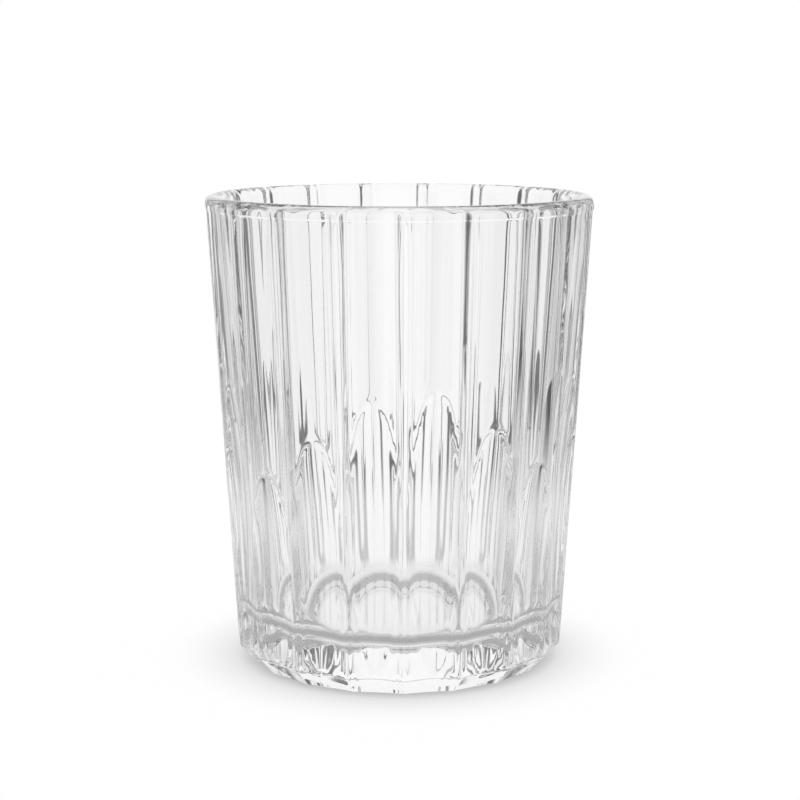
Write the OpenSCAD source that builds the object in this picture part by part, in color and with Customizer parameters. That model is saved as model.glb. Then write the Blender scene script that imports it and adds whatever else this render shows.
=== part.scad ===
// Pressed glass tumbler: one piece of clear glass with a full-round lip, upright flutes that run
// from the lip down the wall, a ring of pointed hollows rising from the foot, and a thick base.
// The origin is on the axis, on the surface that the tumbler stands on, with +Z up.

/* [Overall] */
// Height from the table to the top of the lip
height = 96; // [76:0.5:140]
// Diameter across the lip, its widest part
lip_d = 80; // [70:0.5:96]
// Diameter of the tapered wall carried down to the table
foot_d = 67.7; // [56:0.1:69]

/* [Wall] */
// Thickness of the lip, which is rounded from face to face
lip_t = 4.2; // [3.4:0.1:6]
// How far the lip stands proud of the tapered wall
lip_proud = 0.3; // [0.1:0.05:0.6]
// Thickness of the wall where it meets the floor of the well, ribs and all
wall_t = 6.4; // [4.4:0.1:9]
// Thickness of glass under the well
floor_t = 8.2; // [6:0.1:18]
// Radius of the corner between the floor of the well and its wall
corner_r = 7; // [2:0.1:12]

/* [Base] */
// Height of the bevel round the foot
bevel_h = 3.5; // [2:0.1:5]
// Width of the bevel round the foot, measured in from the wall
bevel_w = 3; // [2:0.1:4.4]
// Radius of the hollow of each facet of the bevel
facet_r = 60; // [40:1:200]
// Depth of a facet below the round bevel
facet_depth = 0.55; // [0.2:0.05:0.55]
// Width of the flat ring that the tumbler stands on
ring_w = 6.8; // [4:0.1:10]
// Depth of the hollow under the base
dish_h = 0.8; // [0.3:0.1:1.5]
// Width of the sloping edge of that hollow
dish_edge = 6; // [2:0.5:12]

/* [Flutes] */
// Number of flutes round the wall, with a rib between each two
flute_n = 19; // [13:2:25]
// Radius of the hollow of a flute
flute_r = 120; // [60:1:200]
// Depth of a flute below the ribs
flute_depth = 0.5; // [0.3:0.05:0.7]

/* [Pointed hollows] */
// Radius of the hollow of a pointed groove
groove_r = 13; // [10:0.5:24]
// Depth of a pointed groove below the ribs where it is deepest, under its nose
groove_depth = 1.8; // [1.2:0.05:2.2]
// Depth that a groove's straight part has at the table, where the bevel and the flute swallow it
groove_foot = 0.3; // [0:0.05:0.8]
// Share of the height of a point that its nose takes up, from the deepest place to the tip
nose_share = 0.4; // [0.3:0.01:0.45]
// Height of the tallest points above the table
tip_z = 61.2; // [50:0.1:66]
// Drop from one point to the next in each falling group
tip_step = 8.2; // [0:0.1:10]
// Number of points in each falling group
tip_group = 3; // [1:1:4]
// How much lower the points stand on the left half
left_drop = 2.1; // [0:0.1:3]

/* [Hidden] */
$fn = 240;
past = 5;

// Lip and tapered wall
lip_r = lip_t / 2;
lip_z = height - lip_r;
lip_x = lip_d / 2 - lip_r;
foot_x = foot_d / 2;
wall_top_x = lip_d / 2 - lip_proud;
lean = atan((wall_top_x - foot_x) / lip_z);
bevel_foot_x = foot_x - bevel_w;
bevel_top_x = foot_x + bevel_h * tan(lean);
bevel_lean = atan((bevel_top_x - bevel_foot_x) / bevel_h);
dish_x = bevel_foot_x - ring_w;

// Well: its wall line, and the corner arc that touches both the wall line and the floor
well_x = foot_x + floor_t * tan(lean) - wall_t;
well_top_x = lip_x - lip_r;
well_lean = atan((well_top_x - well_x) / (lip_z - floor_t));
corner_z = floor_t + corner_r;
corner_x = well_x + corner_r * tan(well_lean) - corner_r / cos(well_lean);

// Flutes and grooves, measured along the wall line from the table
pitch = 360 / flute_n;
wall_len = height / cos(lean);

// Place of groove k in its falling group, counted from the front rib to the back on both sides
function from_front(k) = min(k, flute_n - 1 - k);
function side_drop(k) = k > flute_n / 2 ? left_drop : 0;
function tip_height(k) = tip_z - tip_step * (from_front(k) % tip_group) - side_drop(k);

// Half section of the solid glass, with its lip and the hollow underneath, before the well is taken out
module outer_section() {
    polygon([
        [0, dish_h],
        [dish_x - dish_edge, dish_h],
        [dish_x, 0],
        [bevel_foot_x, 0],
        [bevel_top_x, bevel_h],
        [wall_top_x, lip_z],
        [0, lip_z]
    ]);
    translate([lip_x, lip_z]) circle(lip_r);
}

// Half section of the well, with its rounded corner and straight sides above the lip's middle
module well_section() {
    polygon([
        [0, floor_t],
        [corner_x, floor_t],
        [corner_x + corner_r * cos(well_lean), corner_z - corner_r * sin(well_lean)],
        [well_top_x, lip_z],
        [well_top_x, height + past],
        [0, height + past]
    ]);
    intersection() {
        translate([corner_x, corner_z]) circle(corner_r);
        translate([0, floor_t]) square([well_x + corner_r, corner_r]);
    }
}

// Turns to flute k, with x straight out of the wall and z up the wall line from the table
module on_wall(k) {
    rotate([0, 0, (k + 0.5) * pitch - 90]) translate([foot_x, 0, 0]) rotate([0, lean, 0]) children();
}

// Flute: a long shallow hollow that runs up through the lip
module flute() {
    translate([flute_r - flute_depth, 0, 0]) cylinder(r = flute_r, h = wall_len + past);
}

// Half section of a pointed groove's tool about its own axis: straight, then drawn in to a nose
module groove_section(tail_len, nose_len, nose_r) {
    translate([0, -tail_len]) square([groove_r, tail_len]);
    intersection() {
        square([groove_r, nose_len]);
        translate([groove_r - nose_r, 0]) circle(nose_r);
    }
}

// Pointed groove: a straight hollow that sinks into the flute from the foot upward, and a nose that
// turns it out of the flute again, up to the tip
module pointed_groove(tip) {
    tip_s = tip / cos(lean);
    nose_s = nose_share * tip_s;
    rise = groove_depth - flute_depth;
    nose_r = (pow(nose_s, 2) + pow(rise, 2)) / (2 * rise);
    out = nose_r - groove_depth + groove_foot;
    up = tip_s - nose_s;
    tail = atan2(up, out) - acos(nose_r / norm([out, up]));
    tail_len = (up - nose_r * sin(tail)) / cos(tail) + past;
    nose_len = nose_r * sin(tail + asin(nose_s / nose_r)) + past;
    translate([nose_r - groove_depth, 0, up]) rotate([0, -tail, 0]) translate([groove_r - nose_r, 0, 0])
        rotate_extrude() groove_section(tail_len, nose_len, nose_r);
}

// Facet of the bevel under flute k: a shallow hollow that follows the slope of the bevel
module facet(k) {
    rotate([0, 0, (k + 0.5) * pitch - 90]) translate([bevel_foot_x, 0, 0]) rotate([0, bevel_lean, 0])
        translate([facet_r - facet_depth, 0, -past])
            cylinder(r = facet_r, h = bevel_h / cos(bevel_lean) + 2 * past);
}

// Solid of revolution: wall, lip, base and well
module blank() {
    rotate_extrude() difference() {
        outer_section();
        well_section();
    }
}

// The blank with the first facets of its bevel cut, one after the other round the foot
module cut_foot(count) {
    if (count == 0) {
        blank();
    } else {
        difference() {
            cut_foot(count - 1);
            facet(count - 1);
        }
    }
}

// The same with its first flutes and pointed grooves cut, one after the other round the wall
module cut_wall(count) {
    if (count == 0) {
        cut_foot(flute_n);
    } else {
        difference() {
            cut_wall(count - 1);
            on_wall(count - 1) {
                flute();
                pointed_groove(tip_height(count - 1));
            }
        }
    }
}

// The tumbler, one pressed piece of clear glass
module tumbler() {
    color([0.88, 0.92, 0.93]) cut_wall(flute_n);
}

tumbler();
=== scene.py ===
import math

import bpy
import numpy as np
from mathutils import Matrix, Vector


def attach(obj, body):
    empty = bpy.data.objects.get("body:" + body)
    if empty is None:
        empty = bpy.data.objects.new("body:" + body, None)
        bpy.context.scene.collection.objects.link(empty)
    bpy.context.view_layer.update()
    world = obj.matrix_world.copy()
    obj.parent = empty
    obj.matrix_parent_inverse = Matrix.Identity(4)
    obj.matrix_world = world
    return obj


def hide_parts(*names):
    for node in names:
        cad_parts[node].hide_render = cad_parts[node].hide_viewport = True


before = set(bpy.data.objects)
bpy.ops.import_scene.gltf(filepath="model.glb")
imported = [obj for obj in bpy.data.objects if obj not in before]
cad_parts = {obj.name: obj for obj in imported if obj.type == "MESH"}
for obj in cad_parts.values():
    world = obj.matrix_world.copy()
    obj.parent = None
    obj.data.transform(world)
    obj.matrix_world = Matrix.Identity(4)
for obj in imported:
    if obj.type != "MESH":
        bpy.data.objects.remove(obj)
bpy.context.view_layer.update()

mm = 0.001
scene = bpy.context.scene


class Wire:
    # one node socket that can be used in sums
    def __init__(self, tree, socket):
        self.tree = tree
        self.socket = socket

    def math(self, operation, *others):
        made = addNode(self.tree, "ShaderNodeMath", {"operation": operation})
        for slot, value in zip(made.inputs, (self,) + others):
            plug(self.tree, slot, value)
        return Wire(self.tree, made.outputs[0])

    def __add__(self, other):
        return self.math("ADD", other)

    def __radd__(self, other):
        return self.math("ADD", other)

    def __sub__(self, other):
        return self.math("SUBTRACT", other)

    def __rsub__(self, other):
        return wireOf(self.tree, other).math("SUBTRACT", self)

    def __mul__(self, other):
        return self.math("MULTIPLY", other)

    def __rmul__(self, other):
        return self.math("MULTIPLY", other)


def plug(tree, slot, value):
    if isinstance(value, Wire):
        tree.links.new(value.socket, slot)
    else:
        slot.default_value = value


def addNode(tree, kind, settings=None, sockets=None):
    made = tree.nodes.new(kind)
    for name, value in (settings or {}).items():
        setattr(made, name, value)
    for name, value in (sockets or {}).items():
        plug(tree, made.inputs[name], value)
    return made


def wireOf(tree, number):
    made = addNode(tree, "ShaderNodeValue")
    made.outputs[0].default_value = number
    return Wire(tree, made.outputs[0])


def out(made, name=0):
    return Wire(made.id_data, made.outputs[name])


def freshTree(owner):
    owner.use_nodes = True
    owner.node_tree.nodes.clear()
    return owner.node_tree


def mixColour(tree, factor, first, second):
    made = addNode(tree, "ShaderNodeMix", {"data_type": "RGBA"}, {"Factor": factor, 6: first, 7: second})
    return out(made, 2)  # a Mix node's colours are its inputs 6 and 7 and its output 2


def mixShader(tree, factor, first, second):
    return out(addNode(tree, "ShaderNodeMixShader", None, {0: factor, 1: first, 2: second}))


# The tumbler's form, in millimetres. Its sizes are the construction model's, with the height and the lip
# a hair under, so that the look stays inside that model. The rounded edges and the fine relief are added here
tumblerForm = {
    "height": 95.99,
    "lipAcross": 79.86,
    "footAcross": 67.7,
    "lipThick": 4.2,
    "lipProud": 0.3,
    "wallThick": 6.4,    # where the wall meets the floor of the well
    "floorThick": 8.2,
    "cornerRound": 7.0,
    "bevelHigh": 3.5,
    "bevelWide": 3.0,
    "bevelSoft": 0.12,   # rounds the top edge of the bevel and the shoulder under the lip
    "facetRound": 60.0,
    "facetDeep": 0.55,
    "facetTop": 8.0,     # above this the facets are out of the wall
    "footRound": 0.6,    # the edge that the tumbler stands on
    "ringWide": 6.8,
    "dishDeep": 0.8,
    "dishEdge": 6.0,
    "flutes": 19,
    "fluteRound": 120.0,
    "fluteDeep": 0.5,
    "grooveRound": 13.0,
    "grooveDeep": 1.8,
    "grooveFoot": 0.3,   # depth at which the pointed hollows would reach the table
    "noseShare": 0.4,    # share of a point's height from its deepest place to its tip
    "tipHigh": 61.2,
    "tipStep": 8.2,
    "tipGroup": 3,
    "leftDrop": 2.1,
    "archSoft": 0.10,    # rounds the edges of the pointed hollows
    "archBead": 0.09,    # height of the fine bead along those edges
    "archBeadWide": 0.1,
    "ribSoft": 0.05,     # how far fire polishing has rounded the ribs
    "ribBead": 5.0,      # roundness of a rib's top
    "ribBeadOver": 0.15,  # how far that goes past the rib's edge
    "ribDip": 0.36,      # depth of the soft line along both sides of a rib
    "ribDipAt": 0.5,     # its distance from the rib's edge
    "ribDipIn": 0.42,    # its width towards the rib
    "ribDipOut": 1.2,    # and away from it
    "ribDipFoot": 4.0,   # it starts at this height and is whole at twice that
    "ribDipArch": 0.3,   # it ends where a pointed hollow is this much deeper than its flute
    "ribTopGap": 0.3,    # a rib's relief ends this far below the top of the lip
    "ribTopFade": 1.2,   # and fades over this much
    "lipStep": 0.16,     # step at the top of a flute, under the lip
    "lipStepDown": 2.75,
    "lipStepHigh": 0.3,
    "lipStepLong": 5.0,
    "lipNotch": 0.14,    # notch at the top of a rib
    "lipNotchDown": 1.5,
    "lipNotchHigh": 0.25,
    "lipNotchOver": 0.4,  # how far it goes past the rib's edge
    "lipNotchFade": 0.3,
    "stepsPerFlute": 30,
    "crowding": 0.3,     # how much closer together the columns stand at the ribs
    "crowdingMiddle": 0.45,   # and both there and in the middle of a flute
    "wallBands": ((6.4, 18), (33.0, 16), (62.5, 60)),  # heights up the wall and the rows up to each
    "plainRows": 8,      # rows from there to the lip's band
    "lipBand": 2.4,      # height of the band under the middle of the lip
    "lipBandRows": 9,
    "roundRows": 12,     # rows over each half of the lip and round the corner of the well
    "footRows": 6,
    "dishRows": 9,
    "wellRows": 7,
    "dishRings": (4.0, 9.0, 14.0),
    "floorRings": (16.5, 12.0, 8.0, 4.0),
}


def softMin(a, b, soft):
    near = np.clip(1 - np.abs(a - b) / soft, 0, None)
    return np.minimum(a, b) - near * near * soft / 4


def buildTumbler(form):
    half = form["lipThick"] / 2
    lipZ = form["height"] - half
    lipX = form["lipAcross"] / 2 - half
    footX = form["footAcross"] / 2
    wallTopX = form["lipAcross"] / 2 - form["lipProud"]
    lean = math.atan((wallTopX - footX) / lipZ)
    bevelTopX = footX + form["bevelHigh"] * math.tan(lean)
    bevelFootX = footX - form["bevelWide"]
    bevelLean = math.atan((bevelTopX - bevelFootX) / form["bevelHigh"])
    wellX = footX + form["floorThick"] * math.tan(lean) - form["wallThick"]
    wellTopX = lipX - half
    wellLean = math.atan((wellTopX - wellX) / (lipZ - form["floorThick"]))
    corner = form["cornerRound"]
    cornerZ = form["floorThick"] + corner
    cornerX = wellX + corner * math.tan(wellLean) - corner / math.cos(wellLean)
    pitch = 360 / form["flutes"]
    grooveSolves = 6     # rounds in which the solving below settles
    wallSolves = 8
    pastTip = 4          # this far past its tip a pointed hollow ends
    clearOfWall = 9.0    # and from there on it counts as this far outside the wall
    everyFlute = range(form["flutes"])

    steps = form["stepsPerFlute"]
    t = np.arange(steps) / steps
    across = t - form["crowding"] * np.sin(2 * np.pi * t) / (2 * np.pi)
    across = pitch * (across - form["crowdingMiddle"] * np.sin(4 * np.pi * t) / (4 * np.pi))
    angles = np.concatenate([across + k * pitch for k in everyFlute])  # from the front rib

    def tipHeight(k):
        fromFront = np.minimum(k, form["flutes"] - 1 - k)
        drop = np.where(k > form["flutes"] / 2, form["leftDrop"], 0)
        return form["tipHigh"] - form["tipStep"] * (fromFront % form["tipGroup"]) - drop

    # How far each hollow lies out from the wall line, at v across it and s up the wall from the table
    def flute(k, v, s):
        return form["fluteRound"] - form["fluteDeep"] - np.sqrt(form["fluteRound"] ** 2 - v ** 2)

    def facet(k, v, s):
        return form["facetRound"] - form["facetDeep"] - np.sqrt(form["facetRound"] ** 2 - v ** 2)

    def groove(k, v, s):
        tipS = tipHeight(k) / math.cos(lean)
        noseS = form["noseShare"] * tipS
        rise = form["grooveDeep"] - form["fluteDeep"]
        bow = (noseS ** 2 + rise ** 2) / (2 * rise)
        outward = bow - form["grooveDeep"] + form["grooveFoot"]
        up = tipS - noseS
        tilt = math.atan2(up, outward) - math.acos(bow / math.hypot(outward, up))
        # solved along the hollow's own axis, which leans by the tilt, from a first guess just inside the wall
        x = np.full_like(s + v, -1.0)
        for solve in range(grooveSolves):
            along = (s - up) * math.cos(tilt) - (x - bow + form["grooveDeep"]) * math.sin(tilt)
            drawn = bow - np.sqrt(bow ** 2 - np.clip(along, 0, 0.9 * bow) ** 2)  # kept off the arc's end
            own = np.sqrt(np.clip((form["grooveRound"] - drawn) ** 2 - v ** 2, 0, None))
            shifted = form["grooveRound"] - bow - own
            x = bow - form["grooveDeep"] + (shifted - (s - up) * math.sin(tilt)) / math.cos(tilt)
        return np.where(s > tipS + pastTip, clearOfWall, x)

    # Radius at which a level ray from the axis meets one of those hollows, on a wall that starts at startX
    def meet(shape, k, z, startX, leanAngle):
        off = np.radians((angles - (k + 0.5) * pitch + 180) % 360 - 180)[None, :]
        zz = z[:, None]
        rad = np.full((len(z), len(angles)), startX + 1.0)
        for solve in range(wallSolves):
            v = rad * np.sin(off)
            s = (rad * np.cos(off) - startX) * math.sin(leanAngle) + zz * math.cos(leanAngle)
            outward = (zz * math.sin(leanAngle) + shape(k, v, s)) / math.cos(leanAngle)
            rad = (startX + outward) / np.cos(off)
        return rad

    def nearestFlutes(shift):
        return (np.floor(angles / pitch + 1e-9).astype(int) + shift) % form["flutes"]

    # each column lies in one flute, and the neighbours on both sides may reach over the rib
    def picked(table, shift):
        own = nearestFlutes(shift)
        here = np.zeros_like(table[0])
        for k in everyFlute:
            here[:, own == k] = table[k][:, own == k]
        return here

    def cutRadius():
        both = None
        for shift in (0, -1, 1):
            inFlute, inGroove = picked(fluteTable, shift), picked(grooveTable, shift)
            one = softMin(inFlute, inGroove, form["archSoft"])
            one = one + form["archBead"] * np.exp(-((inFlute - inGroove) / form["archBeadWide"]) ** 2)
            both = one if both is None else softMin(both, one, form["ribSoft"])
        return both

    # Rows up the outside, closer together where the points are
    fillet = math.atan2(form["bevelHigh"], bevelTopX - bevelFootX)
    run = form["footRound"] * math.tan(fillet / 2)
    bands = form["wallBands"] + ((lipZ - form["lipBand"], form["plainRows"]), (lipZ, form["lipBandRows"]))
    rowsUp = []
    start = form["footRound"] * (1 - math.cos(fillet))
    for top, rowCount in bands:
        rowsUp.append(np.linspace(start, top, rowCount, endpoint=False))
        start = top
    rowsUp.append(lipZ + half * np.sin(np.linspace(0, np.pi / 2, form["roundRows"])))
    wallZ = np.concatenate(rowsUp)
    fluteTable = [meet(flute, k, wallZ, footX, lean) for k in everyFlute]
    grooveTable = [meet(groove, k, wallZ, footX, lean) for k in everyFlute]
    facetZ = np.minimum(wallZ, form["facetTop"])
    facetTable = [meet(facet, k, facetZ, bevelFootX, bevelLean) for k in everyFlute]

    wallLine = footX + wallZ * math.tan(lean)
    bevelLine = bevelFootX + wallZ * (bevelTopX - bevelFootX) / form["bevelHigh"]
    lipLine = lipX + np.sqrt(np.clip(half ** 2 - (wallZ - lipZ) ** 2, 0, None))
    shoulder = np.where(wallZ < lipZ - half, 0, lipLine)
    coneLine = np.where(wallZ <= lipZ, -softMin(-wallLine, -shoulder, form["bevelSoft"]), lipLine)

    # the ribs are slightly rounded, with a soft line along both sides
    fromRib = np.abs((angles + pitch / 2) % pitch - pitch / 2)
    alongWall = wallLine[:, None]
    fromRib = alongWall * np.radians(fromRib)[None, :]
    edge = np.sqrt(2 * form["fluteDeep"] / (1 / alongWall + 1 / form["fluteRound"]))
    ribHalf = alongWall * math.sin(math.radians(pitch / 2)) - edge
    atTop = np.clip((form["height"] - form["ribTopGap"] - wallZ) / form["ribTopFade"], 0, 1)[:, None]
    atFoot = np.clip((wallZ - form["ribDipFoot"]) / form["ribDipFoot"], 0, 1)[:, None]
    inArch = np.clip(1 - (picked(fluteTable, 0) - picked(grooveTable, 0)) / form["ribDipArch"], 0, 1)
    past = fromRib - ribHalf - form["ribDipAt"]
    dip = form["ribDip"] * np.exp(-(past / np.where(past < 0, form["ribDipIn"], form["ribDipOut"])) ** 2)
    dip = dip * atTop * atFoot * inArch
    bead = np.where(fromRib < ribHalf + form["ribBeadOver"], fromRib ** 2 / (2 * form["ribBead"]), 0) * atTop

    # under the lip, a step down into each flute and a notch across each rib
    below = form["height"] - form["lipStepDown"] - wallZ
    step = form["lipStep"] * np.clip(below / form["lipStepHigh"] + 0.5, 0, 1)
    step = step * np.exp(-(below / form["lipStepLong"]) ** 2)
    fromNotch = wallZ - form["height"] + form["lipNotchDown"]
    notch = form["lipNotch"] * np.exp(-(fromNotch / form["lipNotchHigh"]) ** 2)
    notch = notch[:, None] * np.clip((ribHalf + form["lipNotchOver"] - fromRib) / form["lipNotchFade"], 0, 1)

    wall = softMin(cutRadius() - dip - step[:, None], coneLine[:, None] - bead - notch, form["ribSoft"])
    bevel = softMin(picked(facetTable, 0), bevelLine[:, None], form["bevelSoft"])
    bevel = np.where((wallZ > form["facetTop"])[:, None], np.inf, bevel)
    footDip = bevelLine[0] - bevel[0]
    wall = softMin(wall, bevel, form["bevelSoft"])
    wall[-1] = lipX  # the top of the lip is plain

    rows = []

    def plainRow(radius, z):
        rows.append((np.full(len(angles), radius), np.full(len(angles), z)))

    # underneath, from the middle out
    dishX = bevelFootX - form["ringWide"]
    for radius in form["dishRings"]:
        plainRow(radius, form["dishDeep"])
    for share in np.linspace(0, 1, form["dishRows"]):
        ease = share * share * (3 - 2 * share)
        plainRow(dishX - form["dishEdge"] * (1 - share), form["dishDeep"] * (1 - ease))
    plainRow((dishX + bevelFootX) / 2, 0)
    for turn in np.linspace(0, fillet, form["footRows"])[:-1]:
        radius = bevelFootX - run + form["footRound"] * math.sin(turn) - footDip
        rows.append((radius, np.full(len(angles), form["footRound"] * (1 - math.cos(turn)))))
    # up the outside and over the lip
    for radius, z in zip(wall, wallZ):
        rows.append((radius, np.full(len(angles), z)))
    for turn in np.linspace(np.pi / 2, np.pi, form["roundRows"])[1:]:
        plainRow(lipX + half * math.cos(turn), lipZ + half * math.sin(turn))
    # down the inside
    wallEnd = (cornerX + corner * math.cos(wellLean), cornerZ - corner * math.sin(wellLean))
    for share in np.linspace(0, 1, form["wellRows"])[1:]:
        plainRow(wellTopX + (wallEnd[0] - wellTopX) * share, lipZ + (wallEnd[1] - lipZ) * share)
    for turn in np.linspace(-wellLean, -np.pi / 2, form["roundRows"])[1:]:
        plainRow(cornerX + corner * math.cos(turn), cornerZ + corner * math.sin(turn))
    for radius in form["floorRings"]:
        plainRow(radius, form["floorThick"])

    around = np.radians(angles - 90)
    radii = np.array([r for r, z in rows])
    heights = np.array([z for r, z in rows])
    points = np.stack([radii * np.cos(around), radii * np.sin(around), heights], axis=-1)
    count, columns = radii.shape
    middles = [[0, 0, form["dishDeep"]], [0, 0, form["floorThick"]]]
    points = np.concatenate([points.reshape(-1, 3), middles])
    under, floorMiddle = count * columns, count * columns + 1

    faces = []
    for j in range(columns):
        after = (j + 1) % columns
        faces.append((under, after, j))
        for row in range(0, (count - 1) * columns, columns):
            above = row + columns
            faces.append((row + j, row + after, above + after, above + j))
        last = (count - 1) * columns
        faces.append((last + j, last + after, floorMiddle))

    mesh = bpy.data.meshes.new("tumblerGlass")
    mesh.from_pydata((points * mm).tolist(), [], faces)
    mesh.polygons.foreach_set("use_smooth", [True] * len(mesh.polygons))
    mesh.validate()
    tumbler = bpy.data.objects.new("tumblerGlass", mesh)
    scene.collection.objects.link(tumbler)
    print("tumbler: rows", count, "columns", columns, "faces", len(mesh.polygons))
    return tumbler


# Clear pressed glass: faint tint, a slow waviness left by the mould, and polish that isn't quite even
glassFinish = {
    "tintClear": (0.990, 0.991, 0.991, 1),
    "tintDeep": (0.970, 0.972, 0.972, 1),
    "index": 1.51,
    "polish": 0.0,       # roughness where it is smoothest
    "smear": 0.02,       # and what the patches add to that
    "wave": 0.00002,     # metres
    "waveScale": 180,
    "waveStretch": 0.22,  # the waves are longer up the wall than across it
    "waveDetail": 2,
    "cloudScale": 55,    # patches of tint and polish
    "cloudDetail": 4,
    "shadowTint": (0.985, 0.986, 0.986, 1),
}


def glassMaterial(finish):
    material = bpy.data.materials.new("clearPressedGlass")
    tree = freshTree(material)
    place = out(addNode(tree, "ShaderNodeTexCoord"), "Object")
    stretched = addNode(tree, "ShaderNodeMapping", {"vector_type": "POINT"},
                        {"Vector": place, "Scale": (1, 1, finish["waveStretch"])})
    ripple = addNode(tree, "ShaderNodeTexNoise", {"noise_dimensions": "3D"},
                     {"Vector": out(stretched), "Scale": finish["waveScale"], "Detail": finish["waveDetail"]})
    cloud = addNode(tree, "ShaderNodeTexNoise", {"noise_dimensions": "3D"},
                    {"Vector": place, "Scale": finish["cloudScale"], "Detail": finish["cloudDetail"]})
    tint = mixColour(tree, out(cloud, "Fac"), finish["tintClear"], finish["tintDeep"])
    rough = finish["polish"] + out(cloud, "Fac") * finish["smear"]
    bump = addNode(tree, "ShaderNodeBump", None,
                   {"Strength": 1, "Distance": finish["wave"], "Height": out(ripple, "Fac")})
    glass = addNode(tree, "ShaderNodeBsdfPrincipled", None, {
        "Base Color": tint, "Roughness": rough, "IOR": finish["index"],
        "Transmission Weight": 1, "Normal": out(bump)})
    clear = addNode(tree, "ShaderNodeBsdfTransparent", None, {"Color": finish["shadowTint"]})
    shadowRay = out(addNode(tree, "ShaderNodeLightPath"), "Is Shadow Ray")
    both = mixShader(tree, shadowRay, out(glass), out(clear))  # light passes through to the table
    addNode(tree, "ShaderNodeOutputMaterial", None, {"Surface": both})
    print("glass: index", finish["index"], "nodes", len(tree.nodes))
    return material


tumbler = buildTumbler(tumblerForm)
tumbler.data.materials.append(glassMaterial(glassFinish))
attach(tumbler, "root")
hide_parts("tumbler")


# White studio all round. Seen through the glass and in its shine, the sides are darker and there are soft
# dark strips between
studio = {
    "side": 0.5,         # tone at the sides
    "sideFrom": -0.7,    # cosines of twice the bearing, from the dark sides to white
    "sideTo": 0.75,
    "strips": 8,         # strips all round
    "stripGap": 0.1,     # tone in the middle of a strip
    "stripFrom": -1.0,   # cosines from there to a strip's edge
    "stripTo": -0.4,
    "above": 0.75,       # tone overhead
    "aboveFrom": 0.2,    # upward share of a direction, from where that starts to where it is whole
    "aboveTo": 0.6,
    "light": 1.0,        # plain white for all other rays
}


def smoothStep(value, low, high, first=0, last=1):
    made = addNode(value.tree, "ShaderNodeMapRange", {"interpolation_type": "SMOOTHSTEP"},
                   {"Value": value, "From Min": low, "From Max": high, "To Min": first, "To Max": last})
    return out(made)


def studioTone(axes, look):
    bearing = out(axes, "X").math("ARCTAN2", out(axes, "Y"))
    side = smoothStep((bearing * 2).math("COSINE"), look["sideFrom"], look["sideTo"], look["side"], 1)
    strip = smoothStep((bearing * look["strips"]).math("COSINE"), look["stripFrom"], look["stripTo"],
                       look["stripGap"], 1)
    return side * strip


def throughGlass(tree):
    path = addNode(tree, "ShaderNodeLightPath")
    return out(path, "Is Glossy Ray").math("MAXIMUM", out(path, "Is Transmission Ray"))


def buildStudio(look):
    world = bpy.data.worlds.new("studio")
    scene.world = world
    tree = freshTree(world)
    place = out(addNode(tree, "ShaderNodeTexCoord"), "Generated")
    axes = addNode(tree, "ShaderNodeSeparateXYZ", None, {"Vector": place})
    tone = studioTone(axes, look)
    overhead = smoothStep(out(axes, "Z"), look["aboveFrom"], look["aboveTo"])
    tone = tone + overhead * (look["above"] - tone)
    strength = look["light"] + throughGlass(tree) * (tone - look["light"])
    sky = addNode(tree, "ShaderNodeBackground", None, {"Color": (1, 1, 1, 1), "Strength": strength})
    addNode(tree, "ShaderNodeOutputWorld", None, {"Surface": out(sky)})
    print("studio: strips", look["strips"], "nodes", len(tree.nodes))


buildStudio(studio)

# White table top that thins out to the white surroundings and keeps the shadow round the foot. Seen through
# the glass, its glow carries painted shade in strips
tableTop = {
    "radius": 0.3,       # metres, as all distances from the middle here
    "sides": 96,
    "fadeFrom": 0.1,     # where it starts to thin out
    "fadeTo": 0.24,
    "paper": (0.97, 0.97, 0.97, 1),
    "paperLight": (0.993, 0.993, 0.993, 1),
    "grainScale": 900,
    "grainDetail": 3,
    "shadeUnder": 0.12,  # share of the real light and shadow under the base
    "shadeFoot": 0.72,   # along the foot
    "shadeAway": 0.03,   # and further out
    "footFrom": 0.016,
    "footTo": 0.026,
    "awayFrom": 0.026,
    "awayTo": 0.05,
    "paintedStripsFrom": 0.034,  # where painted shade in strips like the studio's starts to show on its glow, through the glass
    "paintedStripsTo": 0.05,
    "paintedStripsShare": 0.5,
}


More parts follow.
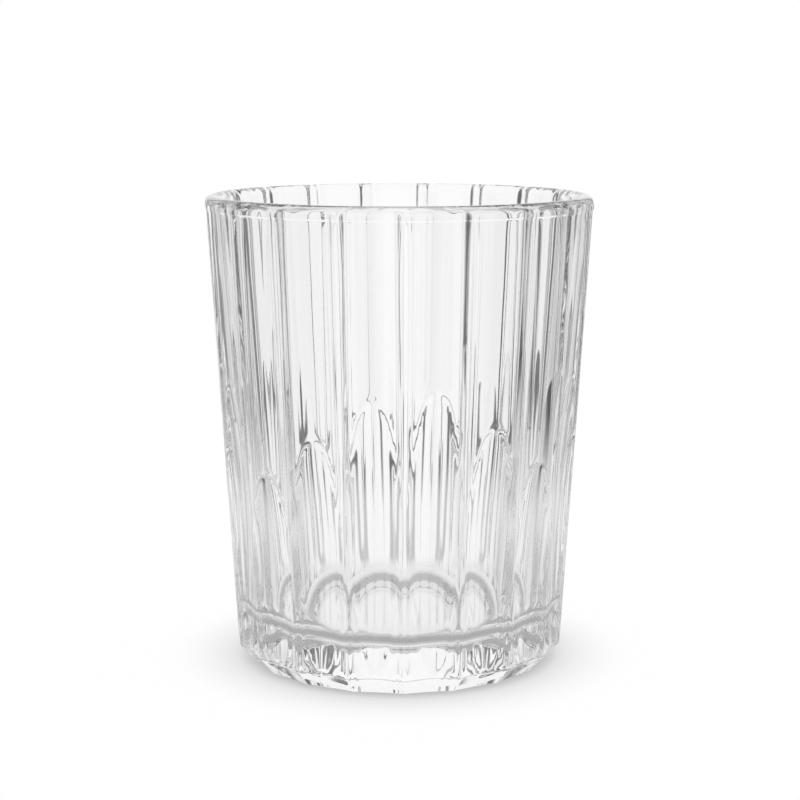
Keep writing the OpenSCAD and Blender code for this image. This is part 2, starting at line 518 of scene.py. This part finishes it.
def buildTable(top, look):
    mesh = bpy.data.meshes.new("tableTop")
    turns = [2 * math.pi * k / top["sides"] for k in range(top["sides"])]
    mesh.from_pydata([(top["radius"] * math.cos(a), top["radius"] * math.sin(a), 0) for a in turns],
                     [], [list(range(top["sides"]))])
    table = bpy.data.objects.new("tableTop", mesh)
    scene.collection.objects.link(table)
    material = bpy.data.materials.new("whiteTable")
    tree = freshTree(material)
    place = out(addNode(tree, "ShaderNodeTexCoord"), "Object")
    away = out(addNode(tree, "ShaderNodeVectorMath", {"operation": "LENGTH"}, {0: place}), "Value")
    grain = addNode(tree, "ShaderNodeTexNoise", None,
                    {"Vector": place, "Scale": top["grainScale"], "Detail": top["grainDetail"]})
    tone = mixColour(tree, out(grain, "Fac"), top["paper"], top["paperLight"])
    paper = addNode(tree, "ShaderNodeBsdfDiffuse", None, {"Color": tone})
    axes = addNode(tree, "ShaderNodeSeparateXYZ", None, {"Vector": place})
    through = throughGlass(tree)
    # painted shade: seen through the glass, the white glow is darkened in the studio's pattern of dark sides
    # and strips, in place of the uneven light and shade round the glass
    strips = (studioTone(axes, look) - 1) * top["paintedStripsShare"]
    bright = 1 + strips * through * smoothStep(away, top["paintedStripsFrom"], top["paintedStripsTo"])
    shown = addNode(tree, "ShaderNodeCombineColor", None, {"Red": bright, "Green": bright, "Blue": bright})
    white = addNode(tree, "ShaderNodeEmission", None, {"Color": out(shown), "Strength": 1})
    share = smoothStep(away, top["footFrom"], top["footTo"], top["shadeUnder"], top["shadeFoot"])
    share = share * smoothStep(away, top["awayFrom"], top["awayTo"], 1, top["shadeAway"])
    seen = through.math("MAXIMUM", out(addNode(tree, "ShaderNodeLightPath"), "Is Camera Ray"))
    lit = mixShader(tree, (1 - share) * seen, out(paper), out(white))
    clear = addNode(tree, "ShaderNodeBsdfTransparent")
    both = mixShader(tree, smoothStep(away, top["fadeFrom"], top["fadeTo"]), lit, out(clear))
    addNode(tree, "ShaderNodeOutputMaterial", None, {"Surface": both})
    print("table: radius", top["radius"], "nodes", len(tree.nodes))
    mesh.materials.append(material)
    return table


table = buildTable(tableTop, studio)

# Camera, set from the photograph's rim, foot and taper
cameraView = {
    "lens": 88.07,       # millimetres, as the sensor
    "sensor": 36,
    "distance": 0.4056,  # metres
    "azimuth": -1.7,     # degrees, a little to the left of the front rib
    "elevation": 9.56,
    "aim": (0.0002, 0.0, 0.0534),
}


def buildCamera(view):
    data = bpy.data.cameras.new("camera")
    data.lens = view["lens"]
    data.sensor_width = view["sensor"]
    camera = bpy.data.objects.new("camera", data)
    scene.collection.objects.link(camera)
    a, e = math.radians(view["azimuth"]), math.radians(view["elevation"])
    back = Vector((math.sin(a) * math.cos(e), -math.cos(a) * math.cos(e), math.sin(e)))
    camera.location = Vector(view["aim"]) + back * view["distance"]
    camera.rotation_mode = "QUATERNION"
    camera.rotation_quaternion = (-back).to_track_quat("-Z", "Y")
    scene.camera = camera
    print("camera: at", [round(value, 4) for value in camera.location])


buildCamera(cameraView)

scene.view_settings.view_transform = "Standard"
scene.cycles.max_bounces = 24  # light is turned back many times inside the base and the wall
scene.cycles.transmission_bounces = 24
scene.cycles.glossy_bounces = 12
scene.cycles.caustics_refractive = False
scene.cycles.caustics_reflective = False
